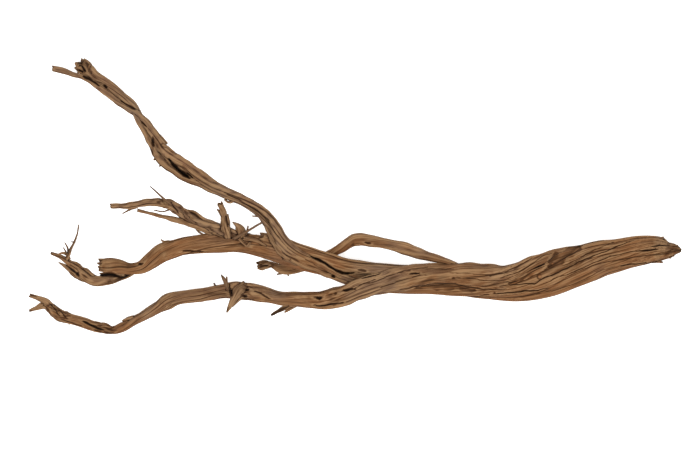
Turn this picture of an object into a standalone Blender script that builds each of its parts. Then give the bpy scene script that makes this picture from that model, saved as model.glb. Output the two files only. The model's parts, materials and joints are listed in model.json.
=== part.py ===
# A piece of driftwood: a twisted vine trunk that forks into four weathered limbs.
# It grew as one piece, so every limb, stub and twig is lofted along its own route and fused into one solid.
# The limbs lie like a fan in the XY plane. The heavy trunk points to +X, and +Z is up.
# Routes are in millimetres: x, y, z of the centre line and the half width of the wood there.
import math

import bmesh
import bpy
import numpy as np

MM = 0.001
FLAT_SPOT_Z = 0.0
THINNEST = 0.7 * MM
RAGGED_END = 0.35
SHARP_ANGLE = math.radians(55)
WOOD_COLOUR = (0.258, 0.136, 0.071, 1.0)
WOOD_ROUGHNESS = 0.88

# The ribs that twist round a limb: how many, how far they stand out, and where they start.
TRUNK_RIBS = ((2, 0.06, 0.4), (3, 0.09, 1.9), (5, 0.07, 0.7))
LIMB_RIBS = ((2, 0.08, 1.2), (3, 0.08, 0.2), (4, 0.06, 2.1))
JAG_RIBS = ((3, 1.0, -1.0), (5, 0.7, -2.4))

# How finely each kind of limb is made: points round it, and millimetres between its rings.
TRUNK_SIDES = 22
TRUNK_STEP = 14
STUB_SIDES = 6
TWIG_SIDES = 5
STUB_STEP = 8
TRUNK_TURNS = 1.4

TRUNK = [
    (-357, -97, 66, 10.1), (-347, -97, 66, 11.2), (-331, -99, 66, 10.4), (-315, -102, 67, 8.1),
    (-299, -100, 69, 9), (-284, -90, 71, 11.5), (-270, -80, 73, 13.2), (-252, -74, 74, 12.9),
    (-224, -68, 73, 12.9), (-189, -65, 69, 14), (-158, -65, 64, 15.7), (-130, -72, 57, 16.8),
    (-102, -83, 50, 14.6), (-70, -93, 43, 11.8), (-37, -103, 38, 10.6), (-7, -114, 34, 11.2),
    (28, -121, 32, 12.9), (66, -124, 31, 12.9), (105, -125, 30, 13.2), (147, -126, 29, 14.3),
    (189, -127, 27, 17.9), (224, -125, 26, 22.1), (259, -117, 26.6, 26.6), (294, -104, 28.2, 29.1),
    (329, -92, 28.8, 28.8), (364, -83, 30.5, 25.5), (399, -77, 33.5, 21.6), (416, -75, 35, 19.9),
    (430, -74, 36, 17.4), (441, -75, 36, 12), (451, -75, 36, 6.7), (457, -76, 36, 1.8),
]
FRONT_LIMB = [
    (-434, -151, 31, 5), (-424, -159, 28, 7), (-413, -167, 24, 8.1), (-392, -174, 17, 7.3),
    (-368, -182, 9, 7.3), (-351, -186, 5.2, 6.7), (-340, -188, 4.2, 5.9), (-326, -184, 8, 6.7),
    (-308, -175, 16, 7.3), (-288, -165, 25, 9), (-274, -156, 31, 10.4), (-261, -146, 35, 10.9),
    (-243, -142, 39, 9.5), (-217, -139, 44, 9.5), (-186, -134, 50, 10.1), (-154, -133, 56, 12.6),
    (-130, -137, 59, 11.8), (-105, -143, 61, 9.5), (-77, -145, 62, 10.4), (-49, -146, 62, 12),
    (-21, -141, 61, 13.4), (7, -131, 57, 14.3), (35, -123, 52, 15.1), (66, -116, 48, 17.1),
    (105, -109, 45, 16.8), (147, -108, 43, 15.4), (189, -111, 43, 14.6), (217, -109, 44, 12.3),
    (245, -97, 44, 10.4), (273, -86, 42, 9.2), (299, -78, 38, 7.6), (324, -73, 32, 5.9),
]
BACK_LIMB = [
    (-130, -59, 66, 7.7), (-98, -68, 61, 8.4), (-70, -78, 56, 8.1), (-42, -87, 51, 9.2),
    (-14, -96, 47, 9.2), (14, -101, 45, 9.5), (42, -104, 43, 9.5), (70, -106, 42, 9.2),
    (98, -106, 42, 7.6),
]
UPPER_STRAND = [
    (-423, 179, 16, 4.6), (-410, 176, 16, 4.5), (-396, 171, 18, 3.8), (-382, 167, 20, 3.5),
    (-366, 158, 25, 4.2), (-348, 145, 33, 4.9), (-329, 130, 44, 4.9), (-315, 121, 55, 4.8),
    (-303, 114, 62, 5), (-294, 105, 68, 5.3), (-284, 92, 74, 5.9), (-275, 78, 81, 6.4),
    (-266, 65, 88, 7.3), (-252, 54, 94, 7.3), (-235, 43, 98, 7), (-217, 28, 101, 8.1),
    (-196, 14, 102, 7), (-172, 3, 101, 5.9), (-149, -7, 98, 5), (-133, -17, 94, 5), (-119, -29, 88, 5),
    (-107, -46, 81, 5.3), (-95, -64, 74, 5), (-77, -80, 67, 4.6), (-56, -91, 60, 4.5),
    (-35, -103, 53, 4.5), (-18, -112, 47, 4.5), (-1, -118, 42, 3.6),
]
LOWER_STRAND = [
    (-385, 185, 9.6, 9.2), (-375, 176, 8.2, 10.1), (-364, 167, 11, 8.1), (-352, 160, 20, 6.9),
    (-340, 152, 29, 6.2), (-330, 144, 38, 5.9), (-319, 134, 47, 5.9), (-310, 125, 52, 6.4),
    (-303, 116, 56, 5.6), (-297, 103, 61, 5.6), (-289, 86, 68, 6), (-281, 70, 75, 6.6),
    (-275, 56, 81, 6.7), (-264, 43, 87, 6.2), (-254, 35, 91, 4.8), (-245, 28, 93, 4.2),
    (-231, 22, 94, 5), (-217, 17, 95, 5), (-200, 9, 95, 5), (-182, 1, 94, 4.8), (-163, -7, 93, 4.6),
    (-148, -15, 91, 4.8), (-134, -25, 87, 5), (-123, -38, 82, 6), (-114, -51, 76, 7.3),
    (-103, -67, 69, 9), (-88, -81, 62, 9.5), (-68, -93, 55, 8.4), (-49, -102, 49, 7),
    (-28, -111, 43, 5.9), (-7, -119, 38, 4.5),
]
INNER_STRAND = [
    (-278, 70, 74, 5.9), (-259, 51, 82, 8.7), (-239, 37, 86, 9.2), (-218, 23, 91, 9),
    (-194, 11, 95, 4.9),
]
LOOP_LIMB = [
    (-135, -97, 31, 5.9), (-126, -96, 31, 6.2), (-116, -99, 30, 4.5), (-106, -101, 29, 5.3),
    (-93, -102, 28, 5.9), (-77, -100, 27, 6.4), (-56, -93, 27, 6.7), (-35, -82, 28, 6.4),
    (-18, -72, 31, 7), (-5, -64, 34, 8.1), (7, -61, 36, 8.7), (27, -64, 38, 7.6), (47, -67, 40, 7.3),
    (65, -72, 41, 8.7), (84, -79, 42, 8.7), (105, -86, 42, 6.7), (125, -93, 42, 5.3),
    (145, -99, 40, 4.8), (164, -105, 38, 3.6),
]
UNDER_STRAND = [
    (-310, -106, 60, 5), (-323, -112, 54, 5), (-340, -117, 50, 6.2), (-355, -119, 50, 7.3),
    (-368, -118, 50, 7.3), (-378, -112, 51, 6.7), (-388, -103, 52, 5.6), (-399, -94, 53, 4.6),
    (-410, -86, 54, 3.6), (-425, -80, 56, 2),
]
CROWN_LIMB = [
    (-342, -14, 128, 3.6), (-329, -14, 128, 3.6), (-313, -13, 127, 4.6), (-299, -11, 125, 4.9),
    (-285, -9, 122, 5.5), (-271, -10, 118, 5.9), (-259, -12, 113, 7), (-247, -19, 107, 7.8),
    (-235, -28, 100, 7.3), (-219, -36, 92, 6.4), (-203, -42, 84, 6.4), (-183, -48, 76, 7),
    (-163, -56, 68, 6.7),
]

# Short broken stubs and splinters: each is a free end that sinks into a limb at its last point.
STUBS = {
    "blade": [
        (-415, -93, 46, 0.8), (-403, -100, 45, 3.4), (-390, -110, 45, 3.9), (-376, -118, 45, 3.9),
        (-359, -122, 47, 3.6),
    ],
    "crown_back": [
        (-239, -23, 96, 3.4), (-226, -27, 92, 6.4), (-214, -35, 87, 6.2), (-198, -41, 81, 6.2),
        (-163, -54, 67, 4.9),
    ],
    "crown_under": [
        (-303, -20, 113, 2.2), (-287, -24, 108, 2.5), (-268, -29, 105, 2.8), (-252, -34, 101, 3.6),
        (-233, -39, 95, 3.6), (-200, -52, 78, 3.9),
    ],
    "crown_web": [
        (-222, -34, 87, 3.1), (-208, -43, 82, 6.3), (-191, -49, 75, 7), (-169, -58, 66, 7),
    ],
    "snag": [
        (-188, -11, 104, 3.8), (-184, -21, 97, 4.3), (-182, -32, 90, 5.2), (-181, -44, 81, 6.7),
        (-177, -59, 70, 7),
    ],
    "snag_ear": [
        (-192, -19, 96, 1.3), (-186, -25, 94, 3.1), (-183, -32, 90, 3.1),
    ],
    "snag_back": [
        (-177, -26, 88, 1.3), (-177, -35, 84, 2.7), (-177, -49, 76, 3.6),
    ],
    "spur": [
        (-179, -163, 70, 1.3), (-173, -152, 70, 4.2), (-167, -142, 69, 6), (-161, -132, 65, 6.7),
        (-154, -127, 58, 5),
    ],
    "splinter": [
        (-117, -167, 42, 1.5), (-109, -162, 44, 2.7), (-99, -157, 48, 3.9), (-82, -151, 54, 4.5),
        (-63, -147, 60, 3.6),
    ],
    "splinter_split": [
        (-98, -163, 48, 1.1), (-91, -158, 51, 2.4), (-78, -151, 55, 2.5),
    ],
    "fork_upper": [
        (-455, -139, 37, 2.5), (-443, -144, 36, 2.9), (-432, -148, 33, 4.5), (-422, -157, 29, 5),
    ],
    "fork_lower": [
        (-456, -161, 26, 2.1), (-446, -156, 27, 3.2), (-435, -152, 29, 4.6), (-422, -157, 28, 4.8),
    ],
    "knob_prong": [
        (-392, 187, 12, 1.7), (-386, 182, 12, 5), (-375, 175, 10, 6),
    ],
    "knob_horn": [
        (-380, 192, 12, 1.4), (-376, 186, 11, 4.3), (-369, 173, 10, 6),
    ],
    "end_prong": [
        (433, -58, 40, 1.3), (423, -62, 40, 3.6), (406, -67, 38, 6),
    ],
    "end_spike": [
        (443, -87, 36, 1.3), (436, -84, 36, 3.6), (423, -80, 36, 7),
    ],
    "horn": [
        (-170, -37, 88, 1.1), (-164, -41, 83, 3.4), (-160, -48, 75, 6.4), (-159, -59, 64, 8.4),
    ],
    "shelf_nub": [
        (-262, 73, 84, 1.3), (-270, 79, 81, 3.6), (-277, 87, 75, 2.8),
    ],
    "elbow_nub": [
        (-273, 41, 83, 1.1), (-270, 45, 84, 2.2), (-264, 50, 86, 2.8),
    ],
    "strand_nub": [
        (-182, -5, 96, 1.4), (-176, -9, 96, 2.1), (-166, -6, 95, 2.2),
    ],
    "side_nub": [
        (-143, -28, 86, 1.1), (-128, -29, 87, 1.4),
    ],
    "front_nub": [
        (-197, -122, 54, 1.3), (-193, -131, 51, 2),
    ],
    "loop_nub": [
        (-109, -110, 22, 1.1), (-100, -107, 24, 2.1), (-89, -102, 28, 2.2),
    ],
    "tip_nub": [
        (-380, -101, 58, 1.4), (-373, -106, 56, 2.5), (-362, -115, 51, 3.4),
    ],
    "trunk_spike": [
        (-271, -61, 76, 0.8), (-268, -67, 76, 2.2), (-263, -74, 74, 3.1),
    ],
}

# Thin twigs, listed the same way.
TWIGS = {
    "twig_rise": [
        (-386, -40, 74, 1), (-388, -53, 70, 1.3), (-392, -64, 66, 1.5), (-397, -74, 61, 1.8),
        (-403, -88, 54, 2.2),
    ],
    "twig_rise_side": [
        (-406, -65, 62, 0.8), (-402, -72, 60, 1.3), (-401, -88, 54, 1.7),
    ],
    "twig_rise_end": [
        (-408, -72, 58, 0.8), (-404, -79, 57, 1.3), (-402, -89, 54, 1.4),
    ],
    "twig_thorn": [
        (-397, -64, 70, 0.7), (-391, -65, 65, 1.1),
    ],
    "twig_slant": [
        (-285, 13, 140, 0.8), (-275, 4, 134, 1.3), (-263, -7, 125, 1.5), (-252, -16, 112, 2.2),
    ],
    "twig_curl": [
        (-280, -20, 118, 1), (-267, -22, 115, 1.1), (-254, -17, 111, 1.7),
    ],
    "twig_low": [
        (-324, -25, 122, 1), (-317, -21, 124, 1.4), (-308, -15, 125, 3.1),
    ],
    "twig_drop": [
        (-217, -54, 84, 1.3), (-221, -47, 87, 1.8), (-227, -35, 93, 2.2),
    ],
    "twig_cross": [
        (-122, -33, 82, 1.8), (-138, -42, 84, 1.8), (-151, -50, 84, 2.1), (-162, -56, 80, 2.2),
        (-177, -65, 72, 2.2),
    ],
    "twig_spike": [
        (-187, -110, 70, 0.8), (-183, -116, 69, 2.5), (-179, -126, 65, 2.9), (-175, -137, 56, 2.7),
    ],
    "twig_barb": [
        (-149, -42, 86, 1), (-151, -52, 80, 1.5),
    ],
}


# Each limb's route, the points round it, the millimetres between its rings and its ribs' turns in a metre.
LIMBS = {
    "front_limb": (FRONT_LIMB, 12, 13, 2.2),
    "back_limb": (BACK_LIMB, 10, 13, 1.8),
    "upper_strand": (UPPER_STRAND, 10, 13, 3.0),
    "lower_strand": (LOWER_STRAND, 10, 12, 2.6),
    "inner_strand": (INNER_STRAND, 8, 14, 2.0),
    "loop_limb": (LOOP_LIMB, 9, 12, 3.0),
    "under_strand": (UNDER_STRAND, 10, 10, 3.0),
    "crown_limb": (CROWN_LIMB, 9, 11, 3.0),
}


def clear_scene():
    for obj in list(bpy.data.objects):
        bpy.data.objects.remove(obj, do_unlink=True)


def smooth_between(knots, values, places):
    # A smooth curve through every knot, read off at the places asked for.
    slopes = np.gradient(values, knots, axis=0)
    index = np.clip(np.searchsorted(knots, places, side="right") - 1, 0, len(knots) - 2)
    span = (knots[index + 1] - knots[index])[:, None]
    t = (places - knots[index])[:, None] / span
    start = (2 * t**3 - 3 * t**2 + 1) * values[index] + (t**3 - 2 * t**2 + t) * span * slopes[index]
    end = (3 * t**2 - 2 * t**3) * values[index + 1] + (t**3 - t**2) * span * slopes[index + 1]
    return start + end


def unit(vectors):
    return vectors / np.linalg.norm(vectors, axis=1, keepdims=True)


def wave(ribs, angle):
    return sum((depth * np.cos(count * angle + start) for count, depth, start in ribs), 0 * angle)


def limb_rings(route, sides, step, ribs, turns_per_metre):
    # Rows of points round the limb, one row for each step along its route.
    points = np.array(route, float) * MM
    gaps = np.linalg.norm(np.diff(points[:, :3], axis=0), axis=1)
    knots = np.concatenate([[0.0], np.cumsum(gaps)])
    along = np.linspace(0, knots[-1], max(3, math.ceil(knots[-1] / step) + 1))
    path = smooth_between(knots, points, along)
    half_width = np.maximum(path[:, 3], THINNEST)[:, None]
    heading = unit(np.gradient(path[:, :3], along, axis=0))
    side = unit(np.cross(heading, (0.0, 0.0, 1.0)))
    rise = np.cross(side, heading)

    angle = np.linspace(0, 2 * math.pi, sides, endpoint=False)[None, :]
    turn = 2 * math.pi * turns_per_metre * along[:, None]
    reach = 1 + wave(ribs, angle - turn)
    across = fit_to_width(reach * np.cos(angle))
    upward = fit_to_width(reach * np.sin(angle))
    rings = (
        path[:, None, :3]
        + (across * half_width)[:, :, None] * side[:, None, :]
        + (upward * half_width)[:, :, None] * rise[:, None, :]
    )
    jag = RAGGED_END * wave(JAG_RIBS, angle)[0]
    rings[0] += (jag * half_width[0])[:, None] * heading[0]
    rings[-1] += (jag * half_width[-1])[:, None] * heading[-1]
    return rings


def fit_to_width(values):
    # The ribs change a limb's outline, so each row is stretched back to run from -1 to 1.
    low = values.min(axis=1, keepdims=True)
    high = values.max(axis=1, keepdims=True)
    return 2 * (values - low) / (high - low) - 1


def add_limb(name, collection, route, sides, step, ribs=(), turns_per_metre=0.0):
    bm = bmesh.new()
    rows = [
        [bm.verts.new(point) for point in ring]
        for ring in limb_rings(route, sides, step * MM, ribs, turns_per_metre)
    ]
    for row, following in zip(rows, rows[1:]):
        for i in range(sides):
            j = (i + 1) % sides
            bm.faces.new((row[i], row[j], following[j], following[i]))
    bm.faces.new(reversed(rows[0]))
    bm.faces.new(rows[-1])
    bmesh.ops.recalc_face_normals(bm, faces=bm.faces)
    mesh = bpy.data.meshes.new(name)
    bm.to_mesh(mesh)
    bm.free()
    obj = bpy.data.objects.new(name, mesh)
    collection.objects.link(obj)
    return obj


def add_collection(name):
    collection = bpy.data.collections.new(name)
    bpy.context.scene.collection.children.link(collection)
    return collection


def fuse(body, limbs):
    # One union joins every limb to the trunk, and the separate limbs are then removed.
    join = body.modifiers.new("fuse limbs", "BOOLEAN")
    join.operation = "UNION"
    join.operand_type = "COLLECTION"
    join.collection = limbs
    join.solver = "EXACT"
    join.use_self = True
    graph = bpy.context.evaluated_depsgraph_get()
    fused = bpy.data.meshes.new_from_object(body.evaluated_get(graph))
    body.modifiers.clear()
    body.data = fused
    for obj in list(limbs.objects):
        bpy.data.objects.remove(obj, do_unlink=True)
    bpy.data.collections.remove(limbs)


def cut_flat_spots(body):
    # The three lowest bends are worn flat, so the piece rests level on them.
    bm = bmesh.new()
    bm.from_mesh(body.data)
    cut = bmesh.ops.bisect_plane(
        bm,
        geom=bm.verts[:] + bm.edges[:] + bm.faces[:],
        plane_co=(0, 0, FLAT_SPOT_Z),
        plane_no=(0, 0, 1),
        clear_inner=True,
    )
    edges = [item for item in cut["geom_cut"] if isinstance(item, bmesh.types.BMEdge)]
    bmesh.ops.holes_fill(bm, edges=edges, sides=0)
    bmesh.ops.triangulate(bm, faces=bm.faces)
    bmesh.ops.recalc_face_normals(bm, faces=bm.faces)
    bm.to_mesh(body.data)
    bm.free()


def wood_material():
    wood = bpy.data.materials.new("weathered vine wood")
    wood.use_nodes = True
    shader = wood.node_tree.nodes["Principled BSDF"]
    shader.inputs["Base Color"].default_value = WOOD_COLOUR
    shader.inputs["Roughness"].default_value = WOOD_ROUGHNESS
    shader.inputs["Metallic"].default_value = 0.0
    return wood


def build():
    clear_scene()
    piece = add_collection("driftwood piece")
    limbs = add_collection("limbs")
    body = add_limb("driftwood", piece, TRUNK, TRUNK_SIDES, TRUNK_STEP, TRUNK_RIBS, TRUNK_TURNS)
    for name, (route, sides, step, turns) in LIMBS.items():
        add_limb(name, limbs, route, sides, step, LIMB_RIBS, turns)
    for name, route in STUBS.items():
        add_limb(name, limbs, route, STUB_SIDES, STUB_STEP)
    for name, route in TWIGS.items():
        add_limb(name, limbs, route, TWIG_SIDES, STUB_STEP)
    fuse(body, limbs)
    cut_flat_spots(body)
    body.data.shade_smooth()
    body.data.set_sharp_from_angle(angle=SHARP_ANGLE)
    body.data.materials.clear()
    body.data.materials.append(wood_material())


build()
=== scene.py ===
# A weathered piece of vine driftwood, laid flat and seen from straight above in soft studio light.
import json
import math

import bmesh
import bpy
import numpy as np
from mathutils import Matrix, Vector

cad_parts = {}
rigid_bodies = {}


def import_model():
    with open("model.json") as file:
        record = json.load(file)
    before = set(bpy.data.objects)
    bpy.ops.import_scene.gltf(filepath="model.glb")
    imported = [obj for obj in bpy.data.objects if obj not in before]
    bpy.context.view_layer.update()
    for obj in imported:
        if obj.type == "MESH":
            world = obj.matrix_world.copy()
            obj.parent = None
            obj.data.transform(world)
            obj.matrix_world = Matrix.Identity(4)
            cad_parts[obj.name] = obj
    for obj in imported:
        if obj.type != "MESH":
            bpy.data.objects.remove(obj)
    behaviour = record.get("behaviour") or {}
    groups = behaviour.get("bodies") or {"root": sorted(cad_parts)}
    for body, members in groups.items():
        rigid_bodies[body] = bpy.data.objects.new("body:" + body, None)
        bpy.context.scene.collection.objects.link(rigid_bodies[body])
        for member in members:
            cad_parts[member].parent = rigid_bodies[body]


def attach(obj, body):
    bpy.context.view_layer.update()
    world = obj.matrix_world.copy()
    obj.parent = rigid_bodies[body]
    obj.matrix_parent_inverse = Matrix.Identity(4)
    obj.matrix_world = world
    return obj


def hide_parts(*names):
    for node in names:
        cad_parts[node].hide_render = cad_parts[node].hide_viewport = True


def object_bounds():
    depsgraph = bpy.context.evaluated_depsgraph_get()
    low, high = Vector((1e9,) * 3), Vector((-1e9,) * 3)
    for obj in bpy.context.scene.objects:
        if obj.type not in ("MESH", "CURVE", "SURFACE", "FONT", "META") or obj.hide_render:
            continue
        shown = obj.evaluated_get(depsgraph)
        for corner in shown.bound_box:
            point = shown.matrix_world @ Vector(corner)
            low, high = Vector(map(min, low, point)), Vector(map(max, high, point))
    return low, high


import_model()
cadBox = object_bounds()
mm = 0.001
fullTurn = 6.28  # radians, near enough for the random start of a wave

# The routes of the limbs, as in the solid: x, y, z of the centre line and the half width, in millimetres.
trunk = [
    (-355, -97, 66, 8.7), (-346, -98, 66, 10.9), (-331, -99, 66, 10.4), (-315, -102, 67, 8.1),
    (-299, -100, 69, 9), (-284, -90, 71, 11.5), (-270, -80, 73, 13.2), (-252, -74, 74, 12.9),
    (-224, -68, 73, 12.9), (-189, -65, 69, 14), (-158, -65, 64, 14.3), (-130, -71, 57, 15.4),
    (-102, -82, 50, 13.7), (-70, -93, 43, 11.8), (-37, -103, 38, 10.6), (-7, -114, 34, 11.2),
    (28, -121, 32, 12.9), (66, -124, 31, 12.9), (105, -125, 30, 13.2), (147, -126, 29, 14.3),
    (189, -127, 27, 17.9), (224, -125, 26, 22.1), (259, -117, 26.6, 26.6), (294, -105, 28.2, 28.6),
    (311, -100, 28.6, 27.2), (329, -93, 28.8, 27.2), (348, -87, 29.6, 25.5), (364, -84, 30.5, 23.7),
    (399, -77, 33.5, 20.9), (416, -75, 35, 19), (429, -75, 36, 17.1), (439, -76, 36, 11.8), (449, -75, 36, 7),
    (457, -76, 36, 1.8),
]
frontLimb = [
    (-434, -151, 31, 5), (-424, -159, 28, 7), (-413, -167, 24, 8.1), (-392, -174, 17, 7.3),
    (-368, -182, 9, 7.3), (-351, -186, 5.2, 6.7), (-340, -188, 4.2, 5.9), (-326, -184, 8, 6.7),
    (-308, -174, 16, 6.7), (-288, -164, 25, 7.7), (-275, -156, 30, 8.7), (-263, -148, 34.5, 10.9),
    (-243, -142, 39, 9.5), (-217, -139, 44, 9.5), (-186, -134, 50, 10.1), (-154, -133, 56, 12.6),
    (-130, -137, 59, 11.8), (-105, -143, 61, 9.5), (-77, -145, 62, 10.4), (-49, -146, 62, 12),
    (-21, -141, 61, 13.4), (7, -131, 57, 14.3), (35, -123, 52, 15.1), (66, -116, 48, 17.1),
    (105, -110, 45, 15.3), (125, -110, 44, 14.6), (147, -108, 43, 15.4), (189, -111, 43, 14.6),
    (217, -109, 44, 12.3), (245, -97, 44, 10.4), (273, -86, 42, 9.2), (299, -78, 38, 7.6),
    (324, -73, 32, 5.9),
]
backLimb = [
    (-130, -59, 66, 7.7), (-98, -68, 61, 8.4), (-70, -78, 56, 8.1), (-42, -87, 51, 9.2), (-14, -96, 47, 9.2),
    (14, -101, 45, 9.5), (42, -104, 43, 9.5), (70, -106, 42, 9.2), (98, -106, 42, 7.6),
]
upperStrand = [
    (-423, 179, 16, 4.6), (-410, 176, 16, 4.5), (-396, 171, 18, 3.8), (-382, 167, 20, 3.5),
    (-366, 158, 25, 4.2), (-348, 145, 33, 4.9), (-329, 130, 44, 4.9), (-315, 121, 55, 4.8),
    (-303, 114, 62, 5), (-294, 105, 68, 5.3), (-284, 92, 74, 5.9), (-275, 78, 81, 6.4), (-266, 65, 88, 7.3),
    (-252, 54, 94, 7.3), (-235, 43, 98, 7), (-217, 28, 101, 8.1), (-196, 14, 102, 7), (-172, 3, 101, 5.9),
    (-149, -7, 98, 5), (-133, -17, 94, 5), (-119, -29, 88, 5), (-107, -46, 81, 5.3), (-95, -64, 74, 5),
    (-77, -80, 67, 4.6), (-56, -91, 60, 4.5), (-35, -103, 53, 4.5), (-18, -112, 47, 4.5), (-1, -118, 42, 3.6),
]
lowerStrand = [
    (-385, 185, 9.6, 9.2), (-375, 176, 8.2, 10.1), (-364, 167, 11, 8.1), (-352, 160, 20, 6.9),
    (-340, 152, 29, 6.2), (-330, 144, 38, 5.9), (-319, 134, 47, 5.9), (-310, 125, 52, 6.4),
    (-304, 115, 56, 6.6), (-299, 104, 61, 6.7), (-290, 86, 68, 6.4), (-281, 70, 75, 6.6), (-275, 56, 81, 6.7),
    (-264, 43, 87, 6.2), (-254, 35, 91, 4.8), (-245, 28, 93, 4.2), (-231, 22, 94, 5), (-217, 17, 95, 5),
    (-200, 9, 95, 5), (-182, 1, 94, 4.8), (-163, -7, 93, 4.6), (-148, -15, 91, 4.8), (-134, -25, 87, 5),
    (-123, -38, 82, 6), (-114, -51, 76, 7.3), (-103, -67, 69, 9), (-88, -81, 62, 9.5), (-68, -93, 55, 8.4),
    (-49, -102, 49, 7), (-28, -111, 43, 5.9), (-7, -119, 38, 4.5),
]
innerStrand = [
    (-278, 70, 74, 5.9), (-259, 51, 82, 8.7), (-239, 37, 86, 9.2), (-218, 23, 91, 9), (-194, 11, 95, 4.9),
]
loopLimb = [
    (-135, -97, 31, 5), (-129, -97, 31, 6.4), (-123, -96, 31, 5), (-117, -96, 30, 4.1), (-107, -101, 29, 5.9),
    (-96, -103, 28, 7), (-77, -100, 27, 6.4), (-56, -93, 27, 6.7), (-35, -82, 28, 6.4), (-18, -72, 31, 7),
    (-9, -66, 33, 7.6), (-2, -62, 34.5, 8.3), (7, -61, 36, 8.7), (27, -64, 38, 7.6), (47, -67, 40, 7.3),
    (65, -72, 41, 8.7), (84, -79, 42, 8.7), (105, -85, 42, 6.2), (125, -91, 42, 4.9), (145, -99, 40, 4.8),
    (164, -105, 38, 3.6),
]
underStrand = [
    (-310, -106, 60, 5), (-323, -112, 54, 5), (-340, -117, 50, 6.2), (-355, -119, 50, 7.3),
    (-368, -118, 50, 7.3), (-378, -112, 51, 6.7), (-388, -103, 52, 5.6), (-399, -94, 53, 4.6),
    (-410, -86, 54, 3.6), (-425, -80, 56, 2),
]
crownLimb = [
    (-340, -14, 128, 3.5), (-329, -14, 128, 3.8), (-313, -13, 127, 4.8), (-299, -11, 125, 4.9),
    (-285, -9, 122, 5.5), (-271, -10, 118, 5.9), (-259, -12, 113, 7), (-247, -19, 107, 7.8),
    (-235, -28, 100, 7.3), (-219, -36, 92, 6.4), (-203, -42, 84, 6.4), (-183, -48, 76, 7),
    (-163, -56, 68, 6.7),
]

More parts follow.
